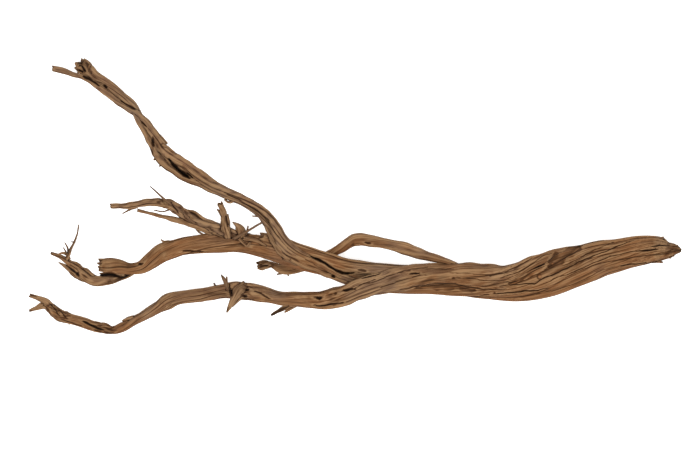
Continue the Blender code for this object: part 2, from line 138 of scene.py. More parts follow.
# Short broken stubs and splinters: each is a free end that sinks into a limb at its last point.
stubs = {
    "blade": [
        (-415, -93, 46, 0.8), (-403, -100, 45, 3.4), (-390, -110, 45, 3.9), (-376, -118, 45, 3.9),
        (-359, -122, 47, 3.6),
    ],
    "crownBack": [
        (-252, -19, 103, 1.4), (-239, -23, 97, 3.9), (-226, -27, 92, 6.4), (-214, -35, 87, 6.2),
        (-198, -41, 81, 6.2), (-163, -54, 67, 4.9),
    ],
    "crownUnder": [
        (-303, -20, 113, 2.2), (-287, -24, 108, 2.5), (-268, -29, 105, 2.8), (-252, -33, 101, 4.2),
        (-233, -38, 95, 4.5), (-200, -51, 79, 4.2),
    ],
    "crownWeb": [(-222, -34, 87, 3.1), (-208, -43, 82, 6.3), (-191, -49, 75, 7), (-169, -58, 66, 7)],
    "snag": [
        (-188, -11, 104, 3.8), (-184, -21, 97, 4.3), (-182, -32, 90, 5.2), (-181, -44, 81, 6.7),
        (-177, -59, 70, 7),
    ],
    "snagEar": [(-192, -19, 96, 1.3), (-186, -25, 94, 3.1), (-183, -32, 90, 3.1)],
    "snagBack": [(-177, -26, 88, 1.3), (-177, -35, 84, 2.7), (-177, -49, 76, 3.6)],
    "spur": [
        (-179, -163, 70, 1.3), (-174, -153, 70, 3.8), (-168, -143, 69, 5.3), (-162, -134, 65, 7.6),
        (-154, -128, 58, 9.2),
    ],
    "spurWeb": [(-171, -155, 66, 1), (-163, -146, 66, 2.5), (-153, -137, 63, 4.5), (-142, -133, 56, 5.3)],
    "splinter": [
        (-117, -167, 42, 1.5), (-109, -162, 44, 2.7), (-99, -157, 48, 3.9), (-82, -151, 54, 4.5),
        (-63, -147, 60, 3.6),
    ],
    "splinterSplit": [(-98, -163, 48, 1.1), (-91, -158, 51, 2.4), (-78, -151, 55, 2.5)],
    "forkUpper": [(-455, -139, 37, 2.8), (-443, -143, 36, 3.4), (-432, -148, 33, 4.6), (-422, -157, 29, 5)],
    "forkLower": [(-456, -161, 26, 2.2), (-446, -157, 27, 3.6), (-435, -153, 29, 5.3), (-422, -157, 28, 5)],
    "knobProng": [(-392, 187, 12, 1.7), (-386, 182, 12, 5), (-375, 175, 10, 6)],
    "knobThorn": [(-372, 185, 19, 1.1), (-373, 179, 17, 2.5), (-369, 171, 14, 4.2)],
    "knobTooth": [(-389, 173, 15, 1.1), (-383, 174, 14, 2.5), (-373, 169, 12, 4.5)],
    "knobHorn": [(-380, 192, 12, 1.4), (-376, 186, 11, 4.3), (-369, 173, 10, 6)],
    "endProng": [(433, -58, 40, 1.3), (423, -62, 40, 3.6), (406, -67, 38, 6)],
    "endSpike": [(443, -87, 36, 1.3), (436, -84, 36, 3.6), (423, -80, 36, 7)],
    "endFibre": [(452, -70, 40, 1), (441, -69, 41, 2.4), (419, -71, 43, 3.9)],
    "endFibreLow": [(448, -83, 38, 1), (437, -80, 41, 2.2), (415, -77, 44, 3.6)],
    "endStep": [(432, -93, 30, 1.1), (420, -91, 31, 3.1), (399, -87, 33, 5.6)],
    "horn": [(-170, -37, 88, 1.1), (-164, -41, 83, 3.4), (-160, -48, 75, 6.4), (-159, -59, 64, 8.4)],
    "pocket": [(-356, -111, 50, 3.4), (-347, -111, 50, 4.2), (-334, -111, 51, 4.5), (-319, -108, 56, 4.8)],
    "fan": [
        (-135, -23, 87, 3.6), (-126, -33, 84, 4.5), (-119, -47, 78, 5.2), (-112, -63, 71, 5.9),
        (-100, -80, 64, 6.2), (-81, -93, 57, 5),
    ],
    "barkSplinter": [(-146, -65, 80, 1), (-151, -70, 79, 1.8), (-156, -66, 79, 2.2), (-166, -58, 75, 3.1)],
    "barkSplinterLong": [(-124, -70, 70, 1.1), (-138, -63, 75, 2.5), (-156, -60, 76, 3.1)],
    "edgeNub": [(-281, 50, 78, 1.1), (-277, 54, 80, 2.2), (-270, 59, 82, 2.8)],
    "edgeShelf": [(-251, 60, 97, 1.3), (-258, 64, 95, 3.1), (-268, 71, 89, 3.6)],
    "spikeEar": [(-179, -113, 69, 1), (-179, -119, 68, 1.7), (-178, -128, 64, 2.4)],
    "shelfNub": [(-262, 73, 84, 1.3), (-270, 79, 81, 3.6), (-277, 87, 75, 2.8)],
    "elbowNub": [(-273, 41, 83, 1.1), (-270, 45, 84, 2.2), (-264, 50, 86, 2.8)],
    "strandNub": [(-182, -5, 96, 1.4), (-176, -9, 96, 2.1), (-166, -6, 95, 2.2)],
    "sideNub": [(-143, -28, 86, 1.1), (-128, -29, 87, 1.4)],
    "frontNub": [(-197, -122, 54, 1.3), (-193, -131, 51, 2)],
    "loopProng": [(-138, -93, 31, 1.1), (-133, -94, 31, 2.4), (-126, -97, 30, 3.6)],
    "loopTooth": [(-93, -112, 24, 1), (-94, -107, 26, 2.1), (-93, -101, 27, 3.1)],
    "loopNub": [(-109, -110, 22, 1.1), (-100, -107, 24, 2.1), (-89, -102, 28, 2.2)],
    "tipNub": [(-380, -101, 58, 1.4), (-373, -106, 56, 2.5), (-362, -115, 51, 3.4)],
    "crownKnot": [(-313, -19, 121, 1.3), (-308, -16, 124, 3.4), (-301, -12, 125, 4.2)],
    "forkWeb": [(-443, -159, 25, 0.8), (-439, -157, 27, 2.1), (-432, -153, 29, 3.6)],
    "shelfTooth": [(-360, -94, 67, 1.1), (-354, -95, 67, 2.8), (-344, -97, 66, 4.5)],
    "shelfToothLow": [(-358, -103, 64, 1), (-352, -103, 64, 2.1), (-343, -101, 65, 3.6)],
    "frontThorn": [(-401, -180, 12, 1), (-398, -176, 16, 1.8), (-394, -171, 18, 3.4)],
    "frontHump": [(-326, -175, 10, 1.3), (-319, -173, 13, 2.8), (-309, -172, 17, 4.2)],
    "curlKnot": [(-416, -82, 61, 1.1), (-409, -80, 61, 2.1), (-403, -82, 60, 2.5), (-400, -88, 56, 2.8)],
    "curlEar": [(-397, -78, 63, 0.7), (-399, -82, 61, 1.7), (-403, -89, 56, 2.5)],
    "trunkSpike": [(-271, -61, 76, 0.7), (-267, -64, 77, 1.5), (-261, -65, 77, 2.7), (-252, -68, 76, 3.6)],
}

# Thin twigs, listed the same way.
twigs = {
    "twigRise": [
        (-386, -40, 74, 1), (-388, -53, 70, 1.4), (-392, -64, 66, 1.7), (-397, -74, 61, 2.1),
        (-403, -88, 54, 2.7),
    ],
    "twigRiseSide": [(-406, -65, 62, 0.8), (-402, -72, 60, 1.3), (-401, -88, 54, 1.7)],
    "twigRiseEnd": [(-408, -72, 58, 0.8), (-404, -79, 57, 1.3), (-402, -89, 54, 1.4)],
    "twigThorn": [(-397, -64, 70, 0.7), (-391, -65, 65, 1.1)],
    "twigSlant": [
        (-285, 13, 140, 0.8), (-275, 4, 134, 1.3), (-263, -7, 125, 1.7), (-250, -16, 116, 2),
        (-236, -28, 108, 1.8), (-224, -38, 98, 2),
    ],
    "twigCurl": [(-280, -20, 118, 1), (-267, -22, 115, 1.1), (-254, -17, 111, 1.7)],
    "twigLow": [(-324, -25, 122, 1), (-317, -21, 124, 1.4), (-308, -15, 125, 3.1)],
    "twigDrop": [(-212, -54, 83, 1.1), (-217, -51, 85, 1.5), (-221, -46, 88, 1.8), (-227, -35, 93, 2.2)],
    "twigCross": [
        (-122, -33, 82, 1.7), (-138, -42, 84, 1.5), (-151, -50, 84, 1.7), (-162, -56, 80, 2.1),
        (-177, -65, 72, 2.2),
    ],
    "twigSpike": [
        (-187, -110, 70, 0.8), (-183, -116, 69, 2.5), (-179, -126, 65, 2.9), (-175, -137, 56, 2.7),
    ],
    "twigBarb": [(-149, -42, 86, 1), (-151, -52, 80, 1.5)],
}

# Ribs that twist round a limb: how many, how far they stand out, and where they start.
trunkRibs = ((2, 0.06, 0.4), (3, 0.09, 1.9), (5, 0.07, 0.7))
limbRibs = ((2, 0.08, 1.2), (3, 0.08, 0.2), (4, 0.06, 2.1))
jagRibs = ((3, 1.0, -1.0), (5, 0.7, -2.4))

# What a limb is made with: its route, the points round it, turns of its grain in a metre where it is 10 mm
# in half width, the girth that the grain is laid out on, the strands that it is bundled from and their depth,
# its ribs, how high its lumps are and how wide, how dark its seams are painted, as shade and dirt between the
# strands, and how warm its colour is. The strands are even in number, so that their seams close round the
# limb.
limbLook = dict(strands=4, strandDepth=0.2, ribs=limbRibs, lumps=0.9, lumpSize=10, seamDark=0.64, warm=0.05)
limbLooks = {
    "trunk": dict(
        route=trunk, sides=150, turns=1.7, girth=(12, 24), strands=10, strandDepth=0.12, ribs=trunkRibs,
        lumps=0.3, lumpSize=34, seamDark=0.62, warm=0.7,
    ),
    "frontLimb": dict(
        limbLook, route=frontLimb, sides=76, turns=1.4, girth=(10, 14), strands=6, strandDepth=0.15,
        lumps=0.7, lumpSize=17, seamDark=0.58, warm=0.5,
    ),
    "backLimb": dict(
        limbLook, route=backLimb, sides=46, turns=0.9, girth=(9, 9), strands=6, strandDepth=0.16,
        lumps=0.8, lumpSize=14, seamDark=0.65, warm=0.45,
    ),
    "upperStrand": dict(limbLook, route=upperStrand, sides=36, turns=1.0, girth=(6, 6)),
    "lowerStrand": dict(limbLook, route=lowerStrand, sides=38, turns=0.9, girth=(6, 6)),
    "innerStrand": dict(
        limbLook, route=innerStrand, sides=40, turns=1.2, girth=(8, 8), strands=6,
        lumps=0.5, lumpSize=12, seamDark=0.7,
    ),
    "loopLimb": dict(
        limbLook, route=loopLimb, sides=40, turns=1.5, girth=(7, 7), strandDepth=0.16,
        lumps=0.75, lumpSize=13, seamDark=0.6, warm=0.45,
    ),
    "underStrand": dict(
        limbLook, route=underStrand, sides=36, turns=1.3, girth=(6, 6), lumps=0.8, seamDark=0.75, warm=0.3,
    ),
    "crownLimb": dict(
        limbLook, route=crownLimb, sides=36, turns=1.3, girth=(5, 5), strandDepth=0.18,
        lumps=1.1, seamDark=0.75, warm=0,
    ),
}
# stubs and twigs have one look each, and are worn, which greys them, by a share of 1
stubLook = dict(
    sides=16, turns=0.6, girth=(4, 4), strands=4, strandDepth=0.13, ribs=(),
    lumps=1.2, lumpSize=8, seamDark=0.42, warm=0.4, worn=0.15,
)
twigLook = dict(
    sides=8, turns=0.2, girth=(2, 2), strands=2, strandDepth=0.05, ribs=(),
    lumps=0.8, lumpSize=6, seamDark=0.3, warm=0.1, worn=0.9,
)
# rings of points this far apart, the least half width, and the shares of the girth that close an end
meshStep = dict(limb=3.0, stub=2.0, thinnest=0.7, capRings=(0.0, 0.35, 0.65, 0.88))
firstSeed = dict(limbs=1, stubs=20, twigs=60, bumps=17, fibres=91)
# lump is a share of the half width and lumpLength a ratio; the others are in millimetres
surface = dict(
    lump=0.07, lumpLength=2.2, furrow=0.8, furrowGap=5.5, furrowLength=90, seamWidth=1.5, fadeLength=40,
    bump=0.12, bumpSize=8, fibreSize=5,
)
# how unevenly the strands lie round a limb, in radians, and over what lengths they sway, in millimetres
strandPath = dict(bend=0.45, kink=0.25, sway=0.3, swayLength=70, weave=0.12, weaveLength=27)
brokenEnd = dict(jag=0.35, splinter=0.16)  # how far it juts out, as shares of the half width


def smoothBetween(knots, values, places):
    # one smooth curve through every knot
    slopes = np.gradient(values, knots, axis=0)
    index = np.clip(np.searchsorted(knots, places, side="right") - 1, 0, len(knots) - 2)
    span = (knots[index + 1] - knots[index])[:, None]
    t = (places - knots[index])[:, None] / span
    start = (2 * t**3 - 3 * t**2 + 1) * values[index] + (t**3 - 2 * t**2 + t) * span * slopes[index]
    end = (3 * t**2 - 2 * t**3) * values[index + 1] + (t**3 - t**2) * span * slopes[index + 1]
    return start + end


def unit(vectors):
    return vectors / np.linalg.norm(vectors, axis=-1, keepdims=True)


def wave(ribs, angle):
    return sum((depth * np.cos(count * angle + start) for count, depth, start in ribs), 0 * angle)


def fitToWidth(values):
    # each row is stretched to run from -1 to 1, so ribs don't change a limb's outline
    low = values.min(axis=1, keepdims=True)
    high = values.max(axis=1, keepdims=True)
    return 2 * (values - low) / (high - low) - 1


def step01(value, low, high):
    t = np.clip((value - low) / (high - low), 0, 1)
    return t * t * (3 - 2 * t)


def grainWaves(rng, angle, along, lowest, highest, length, terms=9):
    # a sum of waves round the limb whose places drift slowly along it, of about unit size
    total = 0 * (angle + along)
    for _ in range(terms):
        count = rng.integers(lowest, highest + 1)
        height = rng.uniform(0.6, 1.6)
        drift = height * np.sin(along / (length * rng.uniform(0.6, 1.5)) + rng.uniform(0, fullTurn))
        total = total + np.cos(count * angle + rng.uniform(0, fullTurn) + drift)
    return total / math.sqrt(terms / 2)


def ripple(co, size, seed):
    # smooth uneven noise of about unit size, made of waves in many directions
    rng = np.random.default_rng(seed)
    total = np.zeros(co.shape[:-1])
    for _ in range(14):
        turn = unit(rng.normal(size=3)) * 2 * math.pi / size * rng.uniform(0.6, 1.6)
        total += np.sin(co @ turn + rng.uniform(0, fullTurn))
    return total / math.sqrt(7)


def furrows(rng, angle, along, radius, look):
    # deep seams between twisted strands, and finer furrows that run with the grain, join and fade;
    # each is kept as a signed distance, so that its line stays sharp between the mesh's points
    middle = float(np.mean(radius))
    bend = strandPath["bend"] * np.sin(angle + rng.uniform(0, fullTurn))
    bend = bend + strandPath["kink"] * np.sin(2 * angle + rng.uniform(0, fullTurn))
    sway = strandPath["sway"] * np.sin(along / strandPath["swayLength"] + rng.uniform(0, fullTurn))
    sway = sway + strandPath["weave"] * np.sin(along / strandPath["weaveLength"] + 2 * angle)
    crossing = np.sin(look["strands"] * (angle + bend + sway) / 2)
    valley = 1 - np.abs(crossing) ** 0.6
    fade = step01(grainWaves(rng, angle, along, 1, 3, surface["fadeLength"], 4), -1.1, 0.7)
    seam = np.stack(
        [
            crossing * 2 * radius / look["strands"] / surface["seamWidth"],
            1.2 * (1 - fade) + 1 - look["seamDark"],
            0 * crossing,
        ],
        axis=-1,
    )
    finest = max(4, round(2 * math.pi * middle / surface["furrowGap"]))
    lines = grainWaves(rng, angle, along, max(2, finest // 3), finest, surface["furrowLength"])
    thin = 0.2 + 0.8 * step01(grainWaves(rng, angle, along, 1, 3, surface["fadeLength"], 4), -0.9, 0.9)
    furrow = np.stack([lines, thin, 0 * lines], axis=-1)
    fineDepth = surface["furrow"] * min(1, middle / 10)
    depth = look["strandDepth"] * radius * (0.3 + 0.7 * fade)
    relief = depth * (0.22 - valley) + fineDepth * (0.2 - np.exp(-((lines / 0.35) ** 2)) * thin)
    return relief, seam, furrow


def stations(length, step):
    # places along the limb and the share of its girth at each, with closed ends
    caps = meshStep["capRings"]
    body = np.linspace(0, length, max(4, math.ceil(length / step) + 1))
    along = np.concatenate([np.zeros(len(caps)), body, np.full(len(caps), length)])
    share = np.concatenate([caps, np.ones(len(body)), caps[::-1]])
    return along, share


def limbSurface(route, look, step, seed):
    # points, grain places and furrows for a sheet that is rolled round the route
    rng = np.random.default_rng(seed)
    points = np.array(route, float)
    gaps = np.linalg.norm(np.diff(points[:, :3], axis=0), axis=1)
    knots = np.concatenate([[0.0], np.cumsum(gaps)])
    along, share = stations(knots[-1], step)
    path = smoothBetween(knots, points, along)
    radius = np.maximum(path[:, 3], meshStep["thinnest"])[:, None]
    ahead = smoothBetween(knots, points, np.clip(along + 0.5, 0, knots[-1]))
    behind = smoothBetween(knots, points, np.clip(along - 0.5, 0, knots[-1]))
    heading = unit(ahead[:, :3] - behind[:, :3])
    side = unit(np.cross(heading, (0.0, 0.0, 1.0)))
    rise = np.cross(side, heading)

    # the sheet's columns turn with the grain, so that every furrow runs along them
    place = along[:, None]
    turned = np.cumsum(np.gradient(along) * 10 / np.maximum(path[:, 3], 3))[:, None] * mm
    twisted = np.linspace(0, 2 * math.pi, look["sides"] + 1)[None, :] + 0 * place
    angle = twisted + 2 * math.pi * look["turns"] * turned
    lengthwise = (place + 50 * seed + 0 * angle) / surface["lumpLength"]
    knobs = np.stack([radius * np.cos(twisted), radius * np.sin(twisted), lengthwise], axis=-1)
    lump = np.clip(ripple(knobs, look["lumpSize"], seed), -2, 2)
    reach = 1 + wave(look["ribs"], twisted)
    across = fitToWidth(reach * np.cos(angle)) * radius
    upward = fitToWidth(reach * np.sin(angle)) * radius
    relief, seam, furrow = furrows(rng, twisted, place, radius, look)
    scale = share[:, None] * (1 + relief / np.maximum(radius, 3) + surface["lump"] * look["lumps"] * lump)
    ends = np.where(share < 1, 1.0, 0.0)[:, None]
    jag = brokenEnd["jag"] * wave(jagRibs, angle) * radius * share[:, None]
    splinters = brokenEnd["splinter"] * radius * grainWaves(rng, angle, 60 * share[:, None], 3, 12, 20)
    edge = (along < 1e-6) | (along > knots[-1] - 1e-6)
    shift = edge[:, None] * (jag + 4 * share[:, None] * (1 - share[:, None]) * splinters)

    co = (
        path[:, None, :3]
        + (across * scale)[:, :, None] * side[:, None, :]
        + (upward * scale)[:, :, None] * rise[:, None, :]
        + shift[:, :, None] * heading[:, None, :]
    )
    small, large = look["girth"]
    girth = small + (large - small) * step01(radius, small, large) if large > small else small + 0 * radius
    girth = girth * (0.3 + 0.7 * share[:, None])
    lengthwise = place + 37.0 * seed + 0 * angle
    grain = np.stack([girth * np.cos(twisted), girth * np.sin(twisted), lengthwise], axis=-1)
    return co, grain, seam, furrow, np.maximum(ends, look.get("worn", 0)) + 0 * angle


def setPointValues(mesh, **layers):
    # one number or three at each point of the mesh, under the layer's name
    for name, values in layers.items():
        kind, field = ("FLOAT_VECTOR", "vector") if values.ndim == 2 else ("FLOAT", "value")
        layer = mesh.attributes.get(name) or mesh.attributes.new(name, kind, "POINT")
        layer.data.foreach_set(field, np.ascontiguousarray(values).ravel())


def flatGrid(name, rows, columns, size):
    # size is from the middle to an edge
    mesh = bpy.data.meshes.new(name)
    bm = bmesh.new()
    bmesh.ops.create_grid(bm, x_segments=rows, y_segments=columns, size=size)
    bm.to_mesh(mesh)
    bm.free()
    return mesh


def rollLimb(name, collection, route, look, step, seed):
    # a flat grid rolled round the route, its long edges welded and its ends drawn to a point
    co, grain, seam, furrow, ends = limbSurface(route, look, step, seed)
    rows, columns = ends.shape
    mesh = flatGrid(name, rows - 1, columns - 1, 1)
    flat = readVectors(mesh.vertices, "co")
    row = np.rint((flat[:, 0] + 1) / 2 * (rows - 1)).astype(int)
    column = np.rint((flat[:, 1] + 1) / 2 * (columns - 1)).astype(int)
    mesh.vertices.foreach_set("co", (co[row, column] * mm).ravel())
    setPointValues(mesh, grain=grain[row, column], furrow=furrow[row, column], seam=seam[row, column])
    setPointValues(mesh, broken=ends[row, column], warm=np.full(len(row), float(look["warm"])))
    bm = bmesh.new()
    bm.from_mesh(mesh)
    bmesh.ops.remove_doubles(bm, verts=bm.verts, dist=1e-7)
    bmesh.ops.recalc_face_normals(bm, faces=bm.faces)
    bm.to_mesh(mesh)
    bm.free()
    obj = bpy.data.objects.new(name, mesh)
    collection.objects.link(obj)
    return obj


def joinLimbs():
    # every limb rolled on its own, then one union makes the wood one piece
    print("rolling the limbs")
    limbs = bpy.data.collections.new("limbs")
    bpy.context.scene.collection.children.link(limbs)
    body = None
    for seed, (name, look) in enumerate(limbLooks.items(), start=firstSeed["limbs"]):
        made = rollLimb(name, limbs, look["route"], look, meshStep["limb"], seed)
        body = body or made
    for seed, (name, route) in enumerate(stubs.items(), start=firstSeed["stubs"]):
        rollLimb(name, limbs, route, stubLook, meshStep["stub"], seed)
    for seed, (name, route) in enumerate(twigs.items(), start=firstSeed["twigs"]):
        rollLimb(name, limbs, route, twigLook, meshStep["stub"], seed)
    limbs.objects.unlink(body)
    bpy.context.scene.collection.objects.link(body)
    print("joining the limbs")
    join = body.modifiers.new("join limbs", "BOOLEAN")
    join.operation = "UNION"
    join.operand_type = "COLLECTION"
    join.collection = limbs
    join.solver = "MANIFOLD"
    graph = bpy.context.evaluated_depsgraph_get()
    joined = bpy.data.meshes.new_from_object(body.evaluated_get(graph))
    body.modifiers.clear()
    body.data = joined
    for obj in list(limbs.objects):
        bpy.data.objects.remove(obj, do_unlink=True)
    bpy.data.collections.remove(limbs)
    return body


# What is carved and darkened on the upper side, the darkening being painted shade with some dirt: width and
# depth in millimetres, how dark its middle is, and its line's points, x and y. Splits, seams and furrows up
# to
# 4 mm wide are drawn sharp.
splits = {
    "trunkSeam": (3.0, 3, 0.85, [
        (196, -137), (212, -136), (224, -135), (240, -133), (258, -132), (270, -129),
    ]),
    "trunkFurrow": (2.6, 2, 0.85, [
        (203, -126), (224, -124), (241, -123), (252, -123), (264, -115), (276, -111), (294, -103), (313, -93),
        (329, -86), (353, -77), (367, -71), (381, -65), (392, -62),
    ]),
    "trunkFurrowLower": (2.2, 1.6, 0.75, [
        (272, -119), (287, -113), (308, -106), (329, -96), (339, -92), (357, -85), (374, -81), (387, -78),
        (399, -77),
    ]),
    "trunkFurrowLowest": (1.8, 0.9, 0.35, [
        (252, -138), (280, -132), (305, -124), (322, -117), (339, -107), (348, -103), (367, -99), (382, -96),
        (396, -93),
    ]),
    "trunkFurrowMiddle": (2.0, 1.2, 0.6, [
        (290, -98), (306, -92), (322, -83), (337, -75), (350, -70), (366, -63),
    ]),
    "trunkFurrowHigh": (2.2, 1.6, 0.7, [
        (203, -115), (222, -109), (237, -103), (252, -92), (264, -84), (276, -80),
    ]),
    "trunkFurrowHigher": (2.0, 1.2, 0.55, [(190, -112), (210, -106), (228, -99), (243, -90), (256, -82)]),
    "endSplit": (3.6, 3.2, 0.9, [(394, -77.8), (404, -76.5), (414, -75.6), (423, -75.2)]),
    "endSplitFar": (2.0, 1.4, 0.6, [(421, -81), (431, -79), (442, -77.5), (451, -75.5)]),
    "endSplitShort": (3, 2.4, 0.9, [(416, -70.5), (427, -69.4), (441, -69.8)]),
    "endLower": (2.4, 2, 0.8, [(404, -96), (420, -93), (432, -88)]),
    "endEdge": (2.6, 2, 0.9, [(372, -98), (384, -96), (396, -95), (408, -93)]),
    "trunkHollowDeep": (3.0, 1.6, 0.9, [
        (266, -103), (280, -95), (290, -89), (300, -84), (309, -79), (316, -73),
    ]),
    "trunkValleyLine": (2.6, 2, 0.95, [(212, -121), (220, -121), (230, -118)]),
    "trunkValleyEdge": (2.2, 1.5, 0.8, [(230, -118), (238, -112), (247, -107), (257, -102), (266, -98)]),
    "strandSeamLine": (3.4, 1.6, 0.78, [
        (62, -131), (71, -130), (80, -128), (91, -125.5), (104, -123.6), (119, -122.6), (131, -122.6),
        (142, -123.4), (152, -126), (163, -128.4), (176, -130), (194, -131.3), (212, -130),
    ]),
    "strandSeamLow": (2.0, 1.4, 0.7, [(98, -139), (120, -141), (146, -142), (170, -141), (190, -138)]),
    "forkSlit": (3.4, 3, 0.9, [(9, -116), (21, -113), (35, -109)]),
    "frontTwist": (2.8, 1.6, 0.9, [(-430, -149), (-420, -158), (-414, -168)]),
    "frontTwistNext": (2.4, 1.4, 0.85, [(-423, -150), (-412, -161), (-403, -173)]),
    "frontUnder": (3.4, 1.4, 0.65, [(-411, -173), (-398, -177), (-382, -183)]),
    "spurFurrow": (4, 2.5, 0.7, [(-141, -133), (-130, -137), (-119, -144)]),
    "frontSlit": (3.6, 3.6, 0.9, [(-58, -152), (-51, -154), (-42, -153), (-28, -151), (-14, -148)]),
    "frontPit": (4, 3, 0.9, [(-29, -137), (-26, -137)]),
    "spurSeam": (2.8, 2.5, 0.8, [(-175, -123), (-175, -132), (-175, -140)]),
    "archSlit": (4, 4, 1.0, [(-236, 33), (-231, 29), (-225, 24)]),
    "knobHollowLower": (4, 4, 0.9, [(-388, 178), (-380, 173)]),
    "strandSlit": (4, 3, 0.8, [(-299, 105), (-291, 96)]),
    "loopSlit": (3.0, 2.6, 0.7, [(13, -65), (23, -66)]),
    "crownCross": (3.0, 1.6, 0.85, [(-257, -8), (-251, -17), (-245, -25)]),
    "dent": (3.0, 2.4, 0.95, [(77, -109), (84, -108.4), (92, -109)]),
}
# thin seams where the strands of the joint lie side by side
jointLines = [
    [(97, -102.3), (119, -102.1), (140, -102.8)],
    [(131, -107.2), (161, -108.6), (189, -110.7), (210, -108.6), (229, -101.6)],
    [(136, -113.5), (161, -115.6), (187, -118.6), (203, -118.6), (217, -115.2), (231, -108.8)],
    [(56, -108.6), (70, -104.4), (89, -101.2), (103, -99.5)],
    [(24, -121.9), (42, -114.2), (61, -107.9), (77, -104.9)],
    [(35, -128.9), (56, -121.2), (75, -115.6), (91, -111.4), (108, -110.0)],
    [(-7, -131.7), (10, -124.0), (30, -115.6)],
]
splits |= {"joint %d" % place: (1.8, 0.8, 0.75, line) for place, line in enumerate(jointLines)}
# wider splits, hollows and holes, whose shade is as soft as the mesh's points are far apart
hollows = {
    "trunkHollow": (20, 4, 0.25, [(270, -99), (286, -88), (302, -78), (318, -70)]),
    "trunkHollowCore": (11, 2.0, 0.5, [
        (268, -101), (279, -94.5), (290, -88), (300, -81.5), (308, -75.5), (318, -68.5),
    ]),
    "trunkValley": (9, 2.5, 0.3, [(215, -123), (231, -118), (245, -109), (259, -101), (273, -95)]),
    "strandSeam": (13, 2.4, 0.52, [
        (84, -128), (104, -126), (119, -126), (131, -126), (144, -127), (156, -130), (170, -132),
    ]),
    "forkCrack": (5.0, 6, 1.0, [
        (-63, -84), (-53, -88), (-42, -94), (-25, -105), (-18, -108), (-9, -108), (0, -107),
    ]),
    "forkHole": (6, 7, 1.0, [(-32, -111), (-28, -114)]),
    "forkStain": (7, 2, 0.5, [(5, -104), (16, -105)]),
    "frontHollow": (5.5, 5, 0.95, [(-381, -175), (-373, -180), (-363, -184), (-352, -188)]),
    "frontBendShade": (5, 1.4, 0.65, [(-366, -188), (-352, -192), (-338, -192)]),
    "spurHoleLeft": (6, 5, 1.0, [(-173, -131), (-172, -141)]),
    "spurHoleUpper": (5, 4.5, 1.0, [(-154, -132), (-147, -131)]),
    "spurHoleLower": (5, 4, 1.0, [(-157, -140), (-151, -140)]),
    "frontHole": (5, 5, 0.95, [(-56, -141), (-50, -143), (-45, -142)]),
    "frontHoleRight": (5, 4.5, 0.95, [(-17, -132), (-10, -132), (-3, -130), (3, -131)]),
    "middleEdge": (5, 2.5, 0.75, [(-242, -77), (-232, -77), (-222, -77), (-212, -78)]),
    "middleHole": (5, 4, 1.0, [(-303, -96), (-296, -95)]),
    "tipHole": (6, 4.5, 1.0, [(-389, -107), (-386, -111)]),
    "archHollow": (7.5, 8, 1.0, [(-261, 53), (-254, 44), (-243, 34), (-230, 24)]),
    "underHollow": (9, 3, 1.0, [(-357, -111), (-345, -110), (-336, -111), (-326, -114)]),
    "archFurrow": (4.5, 2.5, 0.6, [(-182, 5), (-161, -6), (-135, -21), (-119, -35)]),
    "knobSlit": (5.5, 5, 0.85, [(-382, 169), (-371, 163), (-357, 154)]),
    "knobHollowUpper": (5, 5, 1.0, [(-385, 186), (-381, 180), (-377, 174)]),
    "knobPit": (5, 4, 0.9, [(-352, 156), (-347, 152)]),
    "strandGap": (4.6, 4, 0.75, [(-329, 134), (-317, 127), (-305, 120)]),
    "elbowSlit": (5, 4, 0.9, [(-282, 82), (-281, 68)]),
    "crownHollow": (5.5, 2.5, 0.75, [(-231, -21), (-221, -28), (-212, -34)]),
    "tipHollow": (5, 3, 0.95, [(-405, -97), (-397, -102), (-388, -109)]),
    "snagHollow": (5, 4, 0.9, [(-180, -27), (-179, -37), (-178, -45)]),
    "shelfHollow": (5, 3, 0.95, [(-134, -100), (-127, -98), (-120, -97)]),
}
# places darkened with next to no depth: painted shade on some, real stains on others
stainsAndShade = {
    "rimShade": (4.5, 0.5, 0.6, [(319, -69), (330, -65), (342, -63), (353, -61)]),
    "frontShade": (90, 0, 0.16, [
        (-292, -152), (-262, -143), (-236, -137), (-206, -134), (-176, -134), (-150, -136),
    ]),
    "loopShade": (44, 0, 0.14, [(-28, -76), (-4, -63), (10, -61), (35, -66), (63, -74), (105, -87)]),
    "spurShade": (11, 0.2, 0.2, [(-178, -160), (-170, -146), (-160, -133)]),
    "spurTip": (8, 0.1, 0.6, [(-183, -168), (-180, -162), (-176, -155)]),
    "spurRootShade": (24, 0.1, 0.4, [(-206, -137), (-192, -137), (-176, -138)]),
    "spurUnderLeft": (4.5, 0.1, 0.7, [(-190, -142), (-183, -143), (-176, -143)]),
    "spurUnderRight": (4.5, 0.1, 0.7, [(-158, -144), (-150, -144), (-140, -145)]),
    "thornTip": (6, 0.1, 0.8, [(-198, -120), (-195, -124), (-192, -127)]),
    "prongTip": (6, 0.1, 0.6, [(-190, -106), (-187, -110), (-184, -115)]),
    "snagShade": (11, 0.2, 0.2, [(-189, -12), (-184, -25), (-180, -42)]),
    "risingTwig": (14, 0, 0.6, [(-390, -34), (-391, -48), (-396, -66), (-403, -80), (-410, -87)]),
    "slantTwig": (9, 0, 0.6, [(-287, 15), (-276, 2), (-264, -13)]),
    "innerShade": (19, 0, 0.36, [
        (-142, -16), (-129, -26), (-121, -36), (-118, -49), (-115, -62), (-107, -76), (-98, -86),
    ]),
    "shelfShade": (28, 0.1, 0.3, [
        (-142, -92), (-130, -93), (-116, -94), (-98, -104), (-78, -107), (-60, -108),
    ]),
    "shelfTip": (8, 0.8, 0.6, [(-139, -91), (-133, -96), (-124, -99)]),
    "splinterTip": (12, 0.4, 0.72, [(-119, -168), (-109, -163), (-98, -157), (-90, -153)]),
    "forkTipUpper": (6, 0.5, 0.7, [(-456, -138), (-450, -140), (-445, -142)]),
    "forkTipLower": (5, 0.5, 0.6, [(-457, -162), (-452, -160)]),
    "knobShade": (12, 0.8, 0.45, [(-390, 190), (-378, 184), (-368, 172)]),
}
knotRings = {"ring": (259, -113, 3.6, 0.5), "small": (277, -95, 2.2, 0.3)}  # x, y, radius and height
